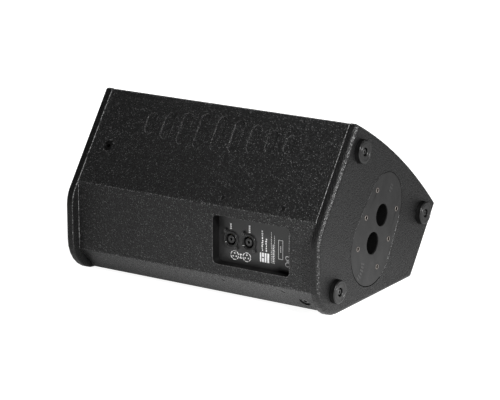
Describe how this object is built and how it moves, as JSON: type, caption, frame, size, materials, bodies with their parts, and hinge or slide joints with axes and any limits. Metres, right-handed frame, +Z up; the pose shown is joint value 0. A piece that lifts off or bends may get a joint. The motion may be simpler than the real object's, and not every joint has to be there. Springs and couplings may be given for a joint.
{
  "type": "stage monitor wedge",
  "caption": "Wedge-shaped stage monitor cabinet with curved grille, recessed rear connectors, pole sockets and rubber feet on one end.",
  "frame": {"origin": "on the floor under the middle of the bounding box", "axes": "+X along the cabinet towards the end with the grip, +Y towards the rear panel with the connectors, +Z up; the grille faces -Y and up"},
  "size_m": [0.521, 0.3908, 0.3086],
  "materials": {
    "cabinet_paint": "black structured paint on birch plywood",
    "bare_ply": "bare plywood and pine",
    "painted_steel": "smooth black powder coat",
    "pole_plate_paint": "fine textured black powder coat",
    "grille_steel": "black powder coat on perforated steel",
    "grille_foam": "open-cell acoustic foam",
    "socket_plastic": "glass-filled nylon",
    "brass_contact": "bright",
    "black_screw": "black oxide",
    "plain_screw": "worn zinc",
    "foot_rubber": "moulded",
    "grip_plastic": "moulded ABS",
    "cast_basket": "black painted casting",
    "gasket_rubber": "soft",
    "cone_paper": "coated paper",
    "spider_cloth": "resin-dipped cloth",
    "coil_copper": "enamelled wire",
    "plated_iron": "zinc plated",
    "ferrite": "sintered",
    "horn_plastic": "moulded ABS",
    "diaphragm_metal": "thin formed sheet",
    "port_plastic": "moulded ABS",
    "board": "glass-fibre board",
    "capacitor_film": "wrapped film",
    "lead_sheath": "PVC",
    "wadding": "polyester wadding"
  },
  "bodies": {
    "cabinet": {"end_panel_bottom": "cabinet_paint", "end_panel_top": "cabinet_paint", "upper_side_panel": "cabinet_paint", "rear_panel": "cabinet_paint", "bevel_panel": "cabinet_paint", "floor_panel": "cabinet_paint", "lower_side_panel": "cabinet_paint", "baffle": "cabinet_paint", "baffle_battens": "bare_ply", "corner_blocks": "bare_ply", "panel_screws": "black_screw", "grille": "grille_steel", "grille_foam": "grille_foam", "grille_screws": "black_screw", "connector_frame": "cabinet_paint", "connector_plate": "painted_steel", "connector_plate_screws": "plain_screw", "input_socket": "socket_plastic", "link_socket": "socket_plastic", "socket_contacts": "brass_contact", "socket_screws": "black_screw", "pole_plate": "pole_plate_paint", "pole_cup_3deg": "painted_steel", "pole_cup_7deg": "painted_steel", "pole_plate_screws": "plain_screw", "foot_upper": "foot_rubber", "foot_front": "foot_rubber", "foot_rear": "foot_rubber", "foot_screws": "black_screw", "foot_washers": "black_screw", "rigging_insert_side": "black_screw", "rigging_insert_rear": "black_screw", "grip_cup": "grip_plastic", "grip_screws": "black_screw", "woofer_basket": "cast_basket", "woofer_gasket": "gasket_rubber", "woofer_top_plate": "plated_iron", "woofer_magnet": "ferrite", "woofer_back_plate": "plated_iron", "woofer_screws": "black_screw", "woofer_terminals": "brass_contact", "horn": "horn_plastic", "horn_screws": "black_screw", "driver_magnet": "ferrite", "driver_phase_plug": "diaphragm_metal", "driver_rear_cover": "horn_plastic", "port_tubes": "port_plastic", "crossover_board": "board", "crossover_coils": "coil_copper", "crossover_capacitors": "capacitor_film", "input_lead": "lead_sheath", "speaker_leads": "lead_sheath", "damping_pads": "wadding"},
    "woofer_cone_assembly": {"woofer_surround": "gasket_rubber", "woofer_cone": "cone_paper", "dust_cap": "cone_paper", "voice_coil": "coil_copper", "woofer_spider": "spider_cloth"},
    "driver_diaphragm_assembly": {"driver_diaphragm": "diaphragm_metal", "driver_suspension": "spider_cloth"}
  },
  "joints": [
    {"name": "woofer_cone_travel", "type": "slide", "parent": "cabinet", "child": "woofer_cone_assembly", "axis": [0, -0.585, 0.8111], "range_m": [-0.004, 0.004], "stiffness_N_per_m": 3000, "deforming": ["woofer_surround", "woofer_spider"]},
    {"name": "driver_diaphragm_travel", "type": "slide", "parent": "cabinet", "child": "driver_diaphragm_assembly", "axis": [0, -0.585, 0.8111], "range_m": [-0.0003, 0.0003], "stiffness_N_per_m": 3000, "deforming": ["driver_suspension"]}
  ]
}
